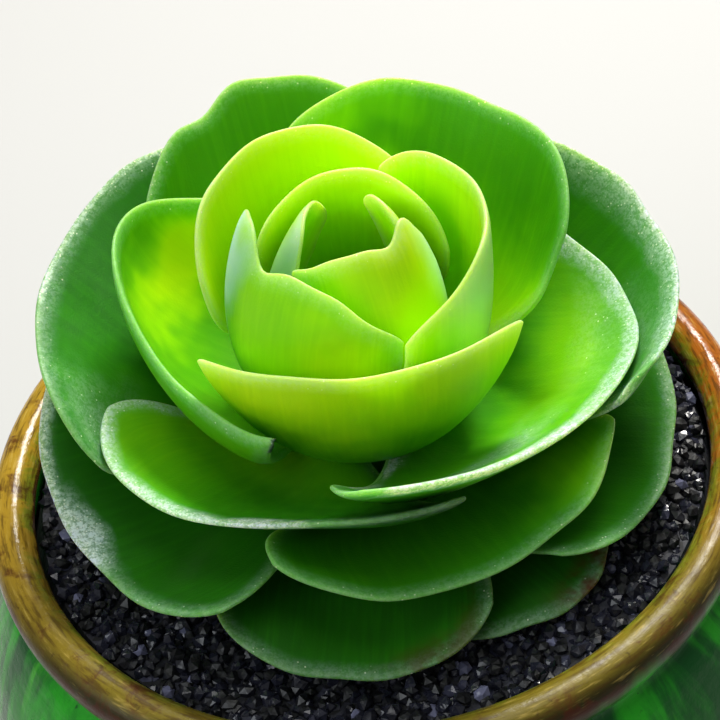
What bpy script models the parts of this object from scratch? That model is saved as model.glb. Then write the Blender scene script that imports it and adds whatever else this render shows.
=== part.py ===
"""A rosette succulent growing in a round glazed pot.

The cupped leaves overlap like the petals of an opening rose and stand on a short, leaning stem.
The stem is rooted in dark grit that fills the pot to just below its rolled rim.
Units are metres, +Z is up, and the front of the plant faces -Y. The origin is the centre of the
pot's foot, on the surface that the pot stands on.
"""

import math

import bmesh
import bpy
import numpy as np
from mathutils import Vector
from mathutils.bvhtree import BVHTree

MM = 0.001
TOUCH_GAP = 0.3 * MM

# Pot
RIM_RADIUS = 40 * MM
RIM_INNER_RADIUS = 35.4 * MM
RIM_POINTS = 9
POT_HEIGHT = 66 * MM
UNDER_RIM = [(39.7 * MM, 62.1 * MM), (38.7 * MM, 60.8 * MM)]
FOOT_RADIUS = 27 * MM
FOOT_INNER_RADIUS = 22.5 * MM
FOOT_RECESS = 2.5 * MM
FOOT_BEVEL = 0.8 * MM
BELLY_RADIUS = 46.5 * MM
BELLY_HEIGHT = 36 * MM
BELLY_RISE = 45 * MM
BODY_HEIGHTS = [height * MM for height in (59, 56, 51, 44, 36, 27, 18, 10, 3)]
WALL = 3.6 * MM
WALL_HEIGHTS = [height * MM for height in (18, 27, 36, 44, 51, 57)]
FLOOR_TOP = 6.5 * MM
FLOOR_CORNER_HEIGHT = 9.5 * MM
FLOOR_CHAMFER = 3 * MM
DRAIN_RADIUS = 4 * MM
POT_STEPS = 48

# Grit
GRIT_TOP = POT_HEIGHT - 3.1 * MM
GRIT_EDGE_RADIUS = 34.85 * MM
GRIT_BUMP = 0.35 * MM
GRIT_WAVE = 2.1 * MM
GRIT_RINGS = 8

# Crown: the frame that the stem, the heart and the leaves share, leaning out of the pot
CROWN_PLACE = Vector((0, 1 * MM, POT_HEIGHT - 4 * MM))
LEAN_FRONT = math.radians(6.5)
LEAN_RIGHT = math.radians(3.0)

# Stem, in the crown's frame
STEM_TOP = 14.5 * MM
STEM_TOP_RADIUS = 1.9 * MM
STEM_RADIUS = 4.4 * MM
ROOT_RADIUS = 2.4 * MM
ROOT_DEPTH = 10 * MM
HOLE_RISE = 4 * MM
STEM_STEPS = 24
STEM_RINGS = 6
STEM_BEVEL = 0.5 * MM
LEAF_SEAT = 0.75 * MM

# Heart, the tight bud of the smallest leaves
HEART_TOP = 28 * MM
HEART_RADIUS = 2.3 * MM
HEART_STEPS = 20
HEART_RINGS = 12
HEART_FOLDS = 3
FOLD_DEPTH = 0.15
FOLD_TWIST = 1.6

# Leaves
GRID = 20
BLADE_ROWS = (0, 3, 6, 9, 12, 14, 16, 18, 20)
BLADE_COLUMNS = range(0, GRID + 1, 2)
BLADE = 1.5 * MM
MARGIN = 0.7 * MM
BASE_HALF_WIDTH = 1.8 * MM
LEAF_GAP = 0.5 * MM
PUSH_REACH = 7 * MM
PUSH_ROUNDS = 7
PUSH_TOLERANCE = 0.03 * MM
MIDRIB_PULL = 0.4
MIDRIB_POINTS = 81
RIPPLE = 0.007
DENT_WIDTH = 0.18

# Each leaf, from the heart outwards. Lengths are in millimetres and angles in degrees.
# azimuth: 0 faces the front and 90 the right; base: height of its foot on the stem;
# reach and rise: radius and height of its tip; start and end: slope of its midrib at foot and tip;
# cup: radius of the blade's cross curve at foot and tip. The rest, where a leaf has it:
# round: how much of its length the round tip takes; skew: how much longer its right side is;
# twist: turn of the tip about the midrib; dents: places across the tip's margin, where -1 is its
# left end and 1 its right, and how deep it dips there, or rises if negative; shoulder: where
# along its length the blade reaches its full width.
LEAVES = {
    "leaf_01": dict(azimuth=102, base=14.0, reach=4.6, rise=33.7, start=25, end=130, width=12,
                    cup=(6, 5.5), round=0.1),
    "leaf_02": dict(azimuth=-90, base=13.4, reach=4.3, rise=34.2, start=12, end=134, width=17,
                    cup=(8, 5.6), round=0.08, skew=-0.05),
    "leaf_03": dict(azimuth=22, base=12.8, reach=5.4, rise=36.0, start=12, end=128, width=18,
                    cup=(9, 6.2), round=0.05, skew=-0.03, dents=((0.1, 0.03), (0.42, -0.07), (1, 0.1))),
    "leaf_04": dict(azimuth=-48, base=12.3, reach=8.6, rise=36.7, start=12, end=126, width=26,
                    cup=(10, 10.2), round=0.16, skew=-0.12,
                    dents=((-1, 0.09), (-0.15, 0.09), (0.5, -0.02))),
    "leaf_05": dict(azimuth=174, base=11.9, reach=8.6, rise=33.2, start=10, end=100, width=23,
                    cup=(10, 10.2)),
    "leaf_06": dict(azimuth=88, base=11.5, reach=12.6, rise=34.8, start=5, end=90, width=31,
                    cup=(10, 12.5), round=0.2),
    "leaf_07": dict(azimuth=-152, base=11.1, reach=15.2, rise=34.0, start=5, end=86, width=29,
                    cup=(12, 14)),
    "leaf_08": dict(azimuth=-2, base=10.7, reach=15.2, rise=30.6, start=0, end=82, width=35,
                    cup=(13, 20), skew=0.03),
    "leaf_09": dict(azimuth=-99, base=9.4, reach=22.2, rise=25.9, start=-8, end=92, width=48,
                    cup=(13, 19.5), round=0.55, skew=-0.16, twist=22,
                    dents=((0.4, 0.05), (0.78, 0.08), (1.05, 0.2)), shoulder=0.4),
    "leaf_10": dict(azimuth=144, base=9.9, reach=25.0, rise=31.2, start=0, end=70, width=38,
                    cup=(14, 19), dents=((-0.12, 0.02),), shoulder=0.5),
    "leaf_11": dict(azimuth=57, base=9.5, reach=25.2, rise=21.0, start=-3, end=45, width=49,
                    cup=(14, 34), round=0.36, skew=-0.02, twist=-14,
                    dents=((-0.5, 0.02), (0.7, 0.04), (1, 0.14)), shoulder=0.5),
    "leaf_12": dict(azimuth=-38, base=9.1, reach=25.0, rise=18.7, start=-3, end=40, width=40,
                    cup=(17, 34), round=0.4, twist=17, dents=((0.75, -0.04),)),
    "leaf_13": dict(azimuth=-166, base=8.7, reach=31.0, rise=28.0, start=-3, end=60, width=31,
                    cup=(14, 22), round=0.42, dents=((0.35, 0.045),)),
    "leaf_14": dict(azimuth=-127, base=8.3, reach=33.4, rise=19.6, start=-3, end=34, width=45,
                    cup=(16, 30), round=0.36, twist=-3, dents=((0.75, 0.05),)),
    "leaf_15": dict(azimuth=103, base=7.9, reach=32.0, rise=22.6, start=-3, end=45, width=38,
                    cup=(16, 28), skew=0.02, dents=((0.1, 0.02),)),
    "leaf_16": dict(azimuth=172, base=7.5, reach=32.0, rise=17.0, start=-3, end=34, width=32,
                    cup=(16, 28)),
    "leaf_17": dict(azimuth=18, base=7.2, reach=27.0, rise=13.5, start=0, end=26, width=38,
                    cup=(16, 30), dents=((-0.55, -0.03), (0.6, -0.03), (1, 0.06))),
    "leaf_18": dict(azimuth=-68, base=6.9, reach=32.2, rise=9.4, start=0, end=16, width=39,
                    cup=(16, 34), skew=-0.02),
    "leaf_19": dict(azimuth=140, base=6.6, reach=32.5, rise=10.5, start=0, end=20, width=30,
                    cup=(16, 32)),
    "leaf_20": dict(azimuth=66, base=6.3, reach=31.5, rise=10.0, start=0, end=20, width=32,
                    cup=(16, 34)),
    "leaf_21": dict(azimuth=-9, base=5.7, reach=32.0, rise=8.5, start=0, end=14, width=26,
                    cup=(16, 34)),
    "leaf_22": dict(azimuth=31, base=5.1, reach=30.9, rise=7.5, start=0, end=12, width=20,
                    cup=(16, 34)),
    "leaf_23": dict(azimuth=104, base=4.8, reach=31.5, rise=6.0, start=0, end=8, width=26,
                    cup=(16, 34)),
    "leaf_24": dict(azimuth=-150, base=4.5, reach=32.0, rise=8.0, start=0, end=14, width=30,
                    cup=(16, 34)),
    "leaf_25": dict(azimuth=168, base=4.2, reach=31.0, rise=5.0, start=0, end=6, width=28,
                    cup=(16, 34)),
}
PLAIN_LEAF = dict(round=0.3, skew=0.0, twist=0.0, dents=(), shoulder=0.7)
INNER_LEAVES = 7
MIDDLE_LEAVES = 15

# Surface colours, roughness and metallic value
FINISHES = {
    "glaze": ((0.30, 0.22, 0.06), 0.18, 0.0),
    "grit": ((0.02, 0.02, 0.025), 0.55, 0.0),
    "stem": ((0.30, 0.24, 0.12), 0.75, 0.0),
    "heart": ((0.22, 0.50, 0.05), 0.40, 0.0),
    "inner_leaf": ((0.38, 0.75, 0.04), 0.38, 0.0),
    "middle_leaf": ((0.20, 0.52, 0.04), 0.38, 0.0),
    "outer_leaf": ((0.08, 0.30, 0.03), 0.40, 0.0),
}


def clear_scene():
    for obj in list(bpy.data.objects):
        bpy.data.objects.remove(obj, do_unlink=True)


def new_collection(name, hidden=False):
    collection = bpy.data.collections.new(name)
    collection.hide_render = hidden
    bpy.context.scene.collection.children.link(collection)
    return collection


def finish_material(name):
    """One plain Principled material for each finish, made once."""
    if name in bpy.data.materials:
        return bpy.data.materials[name]
    color, roughness, metallic = FINISHES[name]
    material = bpy.data.materials.new(name)
    material.use_nodes = True
    shader = material.node_tree.nodes["Principled BSDF"]
    shader.inputs["Base Color"].default_value = (*color, 1)
    shader.inputs["Roughness"].default_value = roughness
    shader.inputs["Metallic"].default_value = metallic
    material.diffuse_color = (*color, 1)
    return material


def add_object(name, mesh, finish, collection, parent=None):
    obj = bpy.data.objects.new(name, mesh)
    mesh.materials.append(finish_material(finish))
    mesh.shade_smooth()
    collection.objects.link(obj)
    obj.parent = parent
    return obj


def keep_evaluated(obj):
    """Replaces an object's mesh with its evaluated one, and drops the modifiers that made it."""
    graph = bpy.context.evaluated_depsgraph_get()
    obj.data = bpy.data.meshes.new_from_object(obj.evaluated_get(graph))
    obj.modifiers.clear()


def turned(name, profile, steps, finish, collection, parent=None):
    """A closed loop of (radius, height) points turned about the Z axis."""
    mesh = bpy.data.meshes.new(name)
    bm = bmesh.new()
    points = [bm.verts.new((radius, 0, height)) for radius, height in profile]
    for first, second in zip(points, points[1:]):
        bm.edges.new((first, second))
    if min(radius for radius, height in profile) > 0:
        bm.edges.new((points[-1], points[0]))
    bm.to_mesh(mesh)
    bm.free()
    obj = add_object(name, mesh, finish, collection, parent)
    screw = obj.modifiers.new("turn", "SCREW")
    screw.steps = steps
    screw.render_steps = steps
    screw.use_merge_vertices = True
    screw.merge_threshold = 0.00001
    screw.use_smooth_shade = True
    return obj


def arc(centre_radius, centre_height, radius, start, end, count):
    """Points on a round profile corner, from one angle to another."""
    angles = np.radians(np.linspace(start, end, count))
    return [(centre_radius + radius * math.cos(a), centre_height + radius * math.sin(a)) for a in angles]


def pot_outside(height):
    """Outer radius of the pot's body: a round belly, wider than the rim, that narrows to the foot."""
    return BELLY_RADIUS * math.sqrt(1 - ((height - BELLY_HEIGHT) / BELLY_RISE) ** 2)


def pot_inside(height):
    return pot_outside(height) - WALL


def cavity_profile():
    """The pot's inner wall as (radius, height) points from the floor's corner up to the rim."""
    corner = pot_inside(FLOOR_CORNER_HEIGHT)
    floor = [(corner - FLOOR_CHAMFER, FLOOR_TOP), (corner, FLOOR_CORNER_HEIGHT)]
    return floor + [(pot_inside(height), height) for height in WALL_HEIGHTS]


def build_pot(collection):
    roll = (RIM_RADIUS - RIM_INNER_RADIUS) / 2
    rim = arc(RIM_INNER_RADIUS + roll, POT_HEIGHT - roll, roll, 180, 0, RIM_POINTS)
    body = [(pot_outside(height), height) for height in BODY_HEIGHTS]
    foot = [(FOOT_RADIUS, FOOT_BEVEL), (FOOT_RADIUS - FOOT_BEVEL, 0), (FOOT_INNER_RADIUS, 0),
            (FOOT_INNER_RADIUS - FOOT_BEVEL, FOOT_RECESS), (DRAIN_RADIUS, FOOT_RECESS)]
    floor = [(DRAIN_RADIUS, FLOOR_TOP)]
    profile = rim + UNDER_RIM + body + foot + floor + cavity_profile()
    turned("pot", profile, POT_STEPS, "glaze", collection)


def grit_height(x, y):
    """The uneven top of the grit at a point: two crossing waves of unlike lengths."""
    short_wave = math.sin(1.3 * x / GRIT_WAVE + 0.7) * math.cos(0.9 * y / GRIT_WAVE - 0.4)
    long_wave = math.sin(0.55 * (x + y) / GRIT_WAVE + 1.9)
    return GRIT_TOP + GRIT_BUMP * (short_wave + long_wave) / 2


def stem_radius(height):
    """Radius of the stem above its root, at a height in the crown's frame."""
    share = min(max(height / STEM_TOP, 0), 1)
    return STEM_RADIUS - (STEM_RADIUS - STEM_TOP_RADIUS) * share ** 2


def root_hole(cutters, crown):
    """A tapered cutter along the leaning root, a little wider than the root."""
    mesh = bpy.data.meshes.new("root_hole")
    bm = bmesh.new()
    mouth = STEM_RADIUS + (STEM_RADIUS - ROOT_RADIUS) * HOLE_RISE / ROOT_DEPTH
    bmesh.ops.create_cone(bm, cap_ends=True, segments=STEM_STEPS, radius1=ROOT_RADIUS + TOUCH_GAP,
                          radius2=mouth + TOUCH_GAP, depth=ROOT_DEPTH + HOLE_RISE)
    bmesh.ops.translate(bm, vec=(0, 0, (HOLE_RISE - ROOT_DEPTH) / 2 - TOUCH_GAP), verts=bm.verts)
    bm.to_mesh(mesh)
    bm.free()
    hole = bpy.data.objects.new("root_hole", mesh)
    cutters.objects.link(hole)
    hole.parent = crown
    hole.hide_render = True
    hole.display_type = "WIRE"
    return hole


def build_grit(collection, cutters, crown):
    """The fill of dark grit, clear of the pot's wall, with a plain hole for the root."""
    top = [(GRIT_EDGE_RADIUS * ring / GRIT_RINGS, GRIT_TOP) for ring in range(GRIT_RINGS + 1)]
    corner, *wall = [(radius - TOUCH_GAP, height) for radius, height in cavity_profile()]
    bottom = [(corner[0], corner[1] + TOUCH_GAP), (0, corner[1] + TOUCH_GAP)]
    grit = turned("grit", top + wall[::-1] + bottom, POT_STEPS, "grit", collection)
    keep_evaluated(grit)
    for vertex in grit.data.vertices:
        if vertex.co.z > GRIT_TOP - GRIT_BUMP:
            vertex.co.z = grit_height(vertex.co.x, vertex.co.y)
    cut = grit.modifiers.new("root hole", "BOOLEAN")
    cut.operation = "DIFFERENCE"
    cut.object = root_hole(cutters, crown)


def build_stem(collection, crown):
    """The short stem, with its root in the grit and its top under the heart."""
    top = [(0, STEM_TOP), (STEM_TOP_RADIUS - STEM_BEVEL, STEM_TOP)]
    heights = np.linspace(STEM_TOP - STEM_BEVEL, 0, STEM_RINGS)
    side = [(stem_radius(height), height) for height in heights]
    root = [(ROOT_RADIUS, STEM_BEVEL - ROOT_DEPTH), (ROOT_RADIUS - STEM_BEVEL, -ROOT_DEPTH),
            (0, -ROOT_DEPTH)]
    turned("stem", top + side + root, STEM_STEPS, "stem", collection, crown)


def build_heart(collection, crown):
    """A bud whose surface steps in where each tiny leaf wraps over the next."""
    mesh = bpy.data.meshes.new("heart")
    bm = bmesh.new()
    bmesh.ops.create_uvsphere(bm, u_segments=HEART_STEPS, v_segments=HEART_RINGS, radius=1)
    low = STEM_TOP + TOUCH_GAP
    for vertex in bm.verts:
        share = (vertex.co.z + 1) / 2
        turn = math.atan2(vertex.co.y, vertex.co.x) / (2 * math.pi)
        fold = (HEART_FOLDS * turn + FOLD_TWIST * share) % 1
        swell = HEART_RADIUS * (1 - FOLD_DEPTH * fold) * (1.1 - 0.35 * share)
        ring = math.hypot(vertex.co.x, vertex.co.y) * swell
        angle = 2 * math.pi * turn
        vertex.co = (ring * math.cos(angle), ring * math.sin(angle), low + (HEART_TOP - low) * share)
    bm.to_mesh(mesh)
    bm.free()
    add_object("heart", mesh, "heart", collection, crown)


def midrib(leaf):
    """The curve from a leaf's foot to its tip, in the plane of its azimuth: lengths along it,
    radii, heights and slopes."""
    foot = np.array([stem_radius(leaf["base"] * MM) + LEAF_SEAT, leaf["base"] * MM])
    tip = np.array([leaf["reach"], leaf["rise"]]) * MM
    pull = MIDRIB_PULL * np.linalg.norm(tip - foot)
    start = math.radians(leaf["start"])
    end = math.radians(leaf["end"])
    near = foot + pull * np.array([math.cos(start), math.sin(start)])
    far = tip - pull * np.array([math.cos(end), math.sin(end)])
    t = np.linspace(0, 1, MIDRIB_POINTS)[:, None]
    curve = (1 - t) ** 3 * foot + 3 * (1 - t) ** 2 * t * near + 3 * (1 - t) * t ** 2 * far + t ** 3 * tip
    change = (1 - t) ** 2 * (near - foot) + 2 * (1 - t) * t * (far - near) + t ** 2 * (tip - far)
    steps = np.linalg.norm(np.diff(curve, axis=0), axis=1)
    along = np.concatenate([[0], np.cumsum(steps)])
    return along, curve[:, 0], curve[:, 1], np.unwrap(np.arctan2(change[:, 1], change[:, 0]))


def tip_outline(leaf, across):
    """How far along the leaf each column of its grid ends, as a share of its length."""
    arch = np.sqrt(1 - (0.98 * across) ** 2)
    ends = 1 - leaf["round"] + leaf["round"] * arch
    ends = ends * (1 + leaf["skew"] * across)
    for place, depth in leaf["dents"]:
        ends = ends - depth * np.exp(-((across - place) / DENT_WIDTH) ** 2)
    phase = math.radians(leaf["azimuth"] * 3) + leaf["base"]
    ripple = np.sin(5.3 * across + phase) + 0.6 * np.sin(11 * across + 2.3 * phase)
    return ends + RIPPLE * ripple


def leaf_surface(leaf):
    """The middle surface of a leaf as a grid of points, rows from foot to tip and columns from
    left to right, with the blade's thickness at each point."""
    spread = np.sin(0.45 * math.pi * np.linspace(-1, 1, GRID + 1)) / math.sin(0.45 * math.pi)
    across, row = np.meshgrid(spread, np.linspace(0, 1, GRID + 1))
    share = row * (1 + (tip_outline(leaf, across) - 1) * row ** 0.7)
    along, radii, heights, slopes = midrib(leaf)
    length = share * along[-1]
    past_tip = np.clip(length - along[-1], 0, None)
    radius = np.interp(length, along, radii) + past_tip * math.cos(slopes[-1])
    height = np.interp(length, along, heights) + past_tip * math.sin(slopes[-1])
    slope = np.interp(length, along, slopes)
    widening = np.sin(math.pi / 2 * np.clip(share / leaf["shoulder"], 0, 1)) ** 1.3
    half_width = BASE_HALF_WIDTH + (leaf["width"] / 2 * MM - BASE_HALF_WIDTH) * widening
    cup = (leaf["cup"][0] + (leaf["cup"][1] - leaf["cup"][0]) * np.clip(share, 0, 1)) * MM
    bend = half_width * across / cup
    turn = math.radians(leaf["twist"]) * share
    side = cup * np.sin(bend) * np.cos(turn)
    inward = cup * (1 - np.cos(bend)) + cup * np.sin(bend) * np.sin(turn)
    radius = radius - np.sin(slope) * inward
    height = height + np.cos(slope) * inward
    azimuth = math.radians(leaf["azimuth"])
    x = radius * math.sin(azimuth) + side * math.cos(azimuth)
    y = -radius * math.cos(azimuth) + side * math.sin(azimuth)
    body = (1 - np.abs(across) ** 3) * (1 - np.clip((row - 0.55) / 0.45, 0, 1) ** 2)
    return np.stack([x, y, height], axis=-1), MARGIN + (BLADE - MARGIN) * body


def blurred(grid, times):
    """Each value of a grid mixed with its four neighbours."""
    for _ in range(times):
        wide = np.pad(grid, [(1, 1), (1, 1)] + [(0, 0)] * (grid.ndim - 2), mode="edge")
        near = wide[:-2, 1:-1] + wide[2:, 1:-1] + wide[1:-1, :-2] + wide[1:-1, 2:]
        grid = (near + 4 * grid) / 8
    return grid


def widened(grid):
    """Each value of a grid raised to the largest of its neighbours."""
    wide = np.pad(grid, 1, mode="edge")
    rows, columns = grid.shape
    return np.max([wide[i:i + rows, j:j + columns] for i in range(3) for j in range(3)], axis=0)


def undersides(points):
    """Smooth directions out of the lower side of a leaf's middle surface."""
    normal = np.cross(np.gradient(points, axis=1), np.gradient(points, axis=0))
    normal = blurred(normal / np.linalg.norm(normal, axis=2)[..., None], 4)
    return normal / np.linalg.norm(normal, axis=2)[..., None]


def missing_gap(points, thickness, down, shift, tree):
    """How much further each point has to move to clear the leaves inside this one."""
    need = np.zeros(thickness.shape)
    for i, j in np.ndindex(need.shape):
        start = points[i, j] + down[i, j] * (shift[i, j] + PUSH_REACH)
        place, normal, face, distance = tree.ray_cast(Vector(start), Vector(-down[i, j]), 2 * PUSH_REACH)
        if place is None:
            continue
        gap = LEAF_GAP + (thickness[i, j] + BLADE) / 2
        gap /= max(abs(normal.dot(Vector(down[i, j]))), 0.7)
        need[i, j] = max(0, gap - (distance - PUSH_REACH))
    return need


def pushed_clear(points, thickness, tree):
    """A leaf's middle surface eased outwards, smoothly, until it clears the leaves inside it."""
    down = undersides(points)
    wanted = np.zeros(thickness.shape)
    shift = wanted
    for _ in range(PUSH_ROUNDS):
        need = missing_gap(points, thickness, down, shift, tree)
        if need.max() < PUSH_TOLERANCE:
            break
        wanted = np.maximum(wanted, np.where(need > 0, shift + need, 0))
        shift = blurred(np.maximum(wanted, blurred(widened(wanted), 6)), 2)
    return points + down * shift[..., None]


def grown_leaves():
    """Every leaf's middle surface and thickness, each one clear of those nearer the heart."""
    grown = {}
    corners = []
    faces = []
    cells = [(i, j) for i in range(GRID) for j in range(GRID)]
    for name, sizes in LEAVES.items():
        points, thickness = leaf_surface({**PLAIN_LEAF, **sizes})
        if corners:
            points = pushed_clear(points, thickness, BVHTree.FromPolygons(corners, faces))
        first = len(corners)
        corners += [tuple(point) for point in points.reshape(-1, 3)]
        for i, j in cells:
            corner = first + i * (GRID + 1) + j
            faces.append((corner, corner + 1, corner + GRID + 2, corner + GRID + 1))
        grown[name] = (points, thickness)
    return grown


def build_leaf(name, points, thickness, finish, collection, crown):
    """A blade: a patch of faces on the leaf's middle surface, made solid by its thickness."""
    points = points[np.ix_(BLADE_ROWS, BLADE_COLUMNS)].reshape(-1, 3)
    thickness = thickness[np.ix_(BLADE_ROWS, BLADE_COLUMNS)].reshape(-1)
    mesh = bpy.data.meshes.new(name)
    bm = bmesh.new()
    bmesh.ops.create_grid(bm, x_segments=len(BLADE_COLUMNS) - 1, y_segments=len(BLADE_ROWS) - 1)
    for vertex, point in zip(bm.verts, points):
        vertex.co = point
    bmesh.ops.triangulate(bm, faces=bm.faces)
    bm.to_mesh(mesh)
    bm.free()
    leaf = add_object(name, mesh, finish, collection, crown)
    blade = leaf.vertex_groups.new(name="blade")
    for index, value in enumerate(thickness):
        blade.add([index], value / BLADE, "REPLACE")
    shell = leaf.modifiers.new("blade", "SOLIDIFY")
    shell.thickness = BLADE
    shell.offset = 0
    shell.vertex_group = "blade"
    return leaf


def leaf_finish(number):
    if number < INNER_LEAVES:
        return "inner_leaf"
    return "middle_leaf" if number < MIDDLE_LEAVES else "outer_leaf"


def main():
    clear_scene()
    parts = new_collection("potted_succulent")
    cutters = new_collection("cutters", hidden=True)
    crown = bpy.data.objects.new("crown", None)
    crown.location = CROWN_PLACE
    crown.rotation_euler = (LEAN_FRONT, LEAN_RIGHT, 0)
    parts.objects.link(crown)
    build_pot(parts)
    build_grit(parts, cutters, crown)
    build_stem(parts, crown)
    build_heart(parts, crown)
    for number, (name, (points, thickness)) in enumerate(grown_leaves().items()):
        build_leaf(name, points, thickness, leaf_finish(number), parts, crown)


main()
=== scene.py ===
"""Looks of the potted succulent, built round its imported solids.

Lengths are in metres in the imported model's frame: +Z is up, the front of the plant faces -Y, and
the pot stands on Z = 0. Every leaf is grown here again on a finer grid than its solid's, with a
round margin, and takes that solid's place.
"""

import math

import bmesh
import bpy
import numpy as np
from mathutils import Matrix, Vector
from mathutils.bvhtree import BVHTree


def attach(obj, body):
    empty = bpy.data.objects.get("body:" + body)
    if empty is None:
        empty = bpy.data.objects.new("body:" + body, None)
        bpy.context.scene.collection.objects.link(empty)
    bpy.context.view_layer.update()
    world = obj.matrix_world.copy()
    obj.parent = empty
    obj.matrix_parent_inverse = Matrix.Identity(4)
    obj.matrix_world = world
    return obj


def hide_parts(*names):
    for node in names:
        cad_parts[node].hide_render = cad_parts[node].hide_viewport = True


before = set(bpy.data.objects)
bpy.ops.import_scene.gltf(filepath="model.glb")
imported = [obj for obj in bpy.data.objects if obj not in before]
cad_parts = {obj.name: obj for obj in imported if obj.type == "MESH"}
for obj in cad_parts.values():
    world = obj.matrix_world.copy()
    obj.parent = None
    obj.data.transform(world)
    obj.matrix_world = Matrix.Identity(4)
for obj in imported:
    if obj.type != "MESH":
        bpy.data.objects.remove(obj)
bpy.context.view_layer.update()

MM = 0.001
TOUCH_GAP = 0.3 * MM

# Pot
RIM_RADIUS = 40 * MM
RIM_INNER_RADIUS = 35.4 * MM
RIM_POINTS = 25
POT_HEIGHT = 66 * MM
UNDER_RIM = [(39.95 * MM, 63.0 * MM), (39.7 * MM, 62.1 * MM), (39.2 * MM, 61.3 * MM),
             (38.8 * MM, 60.7 * MM), (38.9 * MM, 60.2 * MM), (39.3 * MM, 59.6 * MM)]
FOOT_RADIUS = 27 * MM
FOOT_INNER_RADIUS = 22.5 * MM
FOOT_RECESS = 2.5 * MM
FOOT_BEVEL = 0.8 * MM
BELLY_RADIUS = 46.5 * MM
BELLY_HEIGHT = 36 * MM
BELLY_RISE = 45 * MM
BODY_BOTTOM = 3 * MM
BODY_TOP = 59 * MM
WALL = 3.6 * MM
WALL_TOP = 57 * MM
FLOOR_TOP = 6.5 * MM
FLOOR_CORNER_HEIGHT = 9.5 * MM
FLOOR_CHAMFER = 3 * MM
DRAIN_RADIUS = 4 * MM
POT_STEPS = 192
POT_BODY_RINGS = 48
POT_WALL_RINGS = 30

# Grit
GRIT_TOP = POT_HEIGHT - 3.1 * MM
GRIT_BUMP = 0.35 * MM
GRIT_WAVE = 2.1 * MM
GRAIN_SEED = 11
GRAIN_SPACING = 1.15 * MM
GRAIN_LAYERS = ((GRAIN_SPACING, -0.15 * MM), (1.5 * GRAIN_SPACING, 0.35 * MM))
GRAIN_ROW_SHARE = 0.87
GRAIN_JITTER = 0.4
GRAIN_SCATTER = (-0.2 * MM, 0.25 * MM)
GRAIN_SIZES = (0.55 * MM, 0.95 * MM)
GRAIN_STRETCH = (0.75, 1.2)
GRAIN_ROUGHNESS = (0.8, 1.15)
GRAIN_REACH = 34.7 * MM
GRAIN_CLEARANCE = 0.75 * MM
CLEARANCE_REACH = 3 * MM

# Crown: the frame that the stem, the heart and the leaves share, leaning out of the pot
CROWN_PLACE = Vector((0, 1 * MM, POT_HEIGHT - 4 * MM))
LEAN_FRONT = math.radians(6.5)
LEAN_RIGHT = math.radians(3.0)
CROWN_LEAN = Matrix.Rotation(LEAN_RIGHT, 4, "Y") @ Matrix.Rotation(LEAN_FRONT, 4, "X")
CROWN = Matrix.Translation(CROWN_PLACE) @ CROWN_LEAN

# Stem, in the crown's frame
STEM_TOP = 14.5 * MM
STEM_TOP_RADIUS = 1.9 * MM
STEM_RADIUS = 4.4 * MM
ROOT_RADIUS = 2.4 * MM
ROOT_DEPTH = 10 * MM
LEAF_SEAT = 0.75 * MM
STEM_RINGS = 60
STEM_STEPS = 64
SCAR_DEPTH = 0.10 * MM
SCAR_SPACING = 0.55 * MM
BARK_INSET = 0.12 * MM
STEM_BEVEL = 0.5 * MM
STEM_HOLE = 0.05 * MM

# Heart
HEART_TOP = 28 * MM
HEART_RADIUS = 2.3 * MM
HEART_FOLDS = 3
FOLD_DEPTH = 0.15
FOLD_TWIST = 1.6
FOLD_EDGE = 0.94
HEART_STEPS = 96
HEART_RINGS = 64

# Leaves. PUSH_SPREAD and the two smoothings say how often values are mixed with their neighbours.
GRID = 20
FINER = 3
ROLL_RINGS = 4
BLADE = 1.5 * MM
MARGIN = 0.7 * MM
BASE_HALF_WIDTH = 1.8 * MM
LEAF_GAP = 0.5 * MM
PUSH_REACH = 7 * MM
PUSH_ROUNDS = 7
PUSH_TOLERANCE = 0.03 * MM
PUSH_SPREAD = 6
PUSH_SMOOTHING = 2
NORMAL_SMOOTHING = 4
LEAST_SLANT = 0.7
MIDRIB_PULL = 0.4
MIDRIB_POINTS = 81
RIPPLE = 0.007
DENT_WIDTH = 0.18
EDGE_SHARE = 0.6
EDGE_WIDTH = 1.2 * MM

# Leaf flesh: the shader's own values, and screen colours from 0 to 255
FLESH = {"Subsurface Weight": 0.9, "Subsurface Radius": (0.85, 1.0, 0.2),
         "Subsurface Scale": 3.0 * MM, "IOR": 1.40, "Specular IOR Level": 0.25}
# A blue-green waxy coat with a painted reflection of the sky in it
BLOOM_AND_SHEEN = (184, 228, 200)
PALE_MARGIN = (164, 220, 148)
# Painted sheen and glints on the white waxy skin
WAX_SHEEN_HAZE = (200, 222, 212)
WAX_GLINT = (240, 244, 226)
DRY_BROWN = (70, 34, 12)

# Studio. Each light has its place, size, watts and colour, and shines at the target.
LIGHT_TARGET = (0, 0, 0.075)
LIGHTS = {
    "key": ((0.14, 0.36, 0.52), 0.16, 5.5, (1.0, 0.97, 0.90)),
    "fill": ((-0.45, -0.25, 0.45), 0.45, 1.8, (0.90, 0.96, 1.0)),
    "top": ((0.05, 0.05, 0.75), 0.40, 1.6, (1.0, 1.0, 1.0)),
}
SKY_COLOUR = (0.96, 0.98, 1.0, 1)
SKY_STRENGTH = 0.22
FLOOR_SIZE = 4
FLOOR_COLOUR = (0.46, 0.46, 0.455, 1)

# Camera
CAMERA_PLACE = (0, -0.1255, 0.1915)
CAMERA_TARGET = (0.0009, 0.0020, 0.0750)
CAMERA_ROLL = math.radians(-9.5)
CAMERA_LENS = 85
CAMERA_SENSOR = 36
CAMERA_NEAR = 0.01

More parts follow.
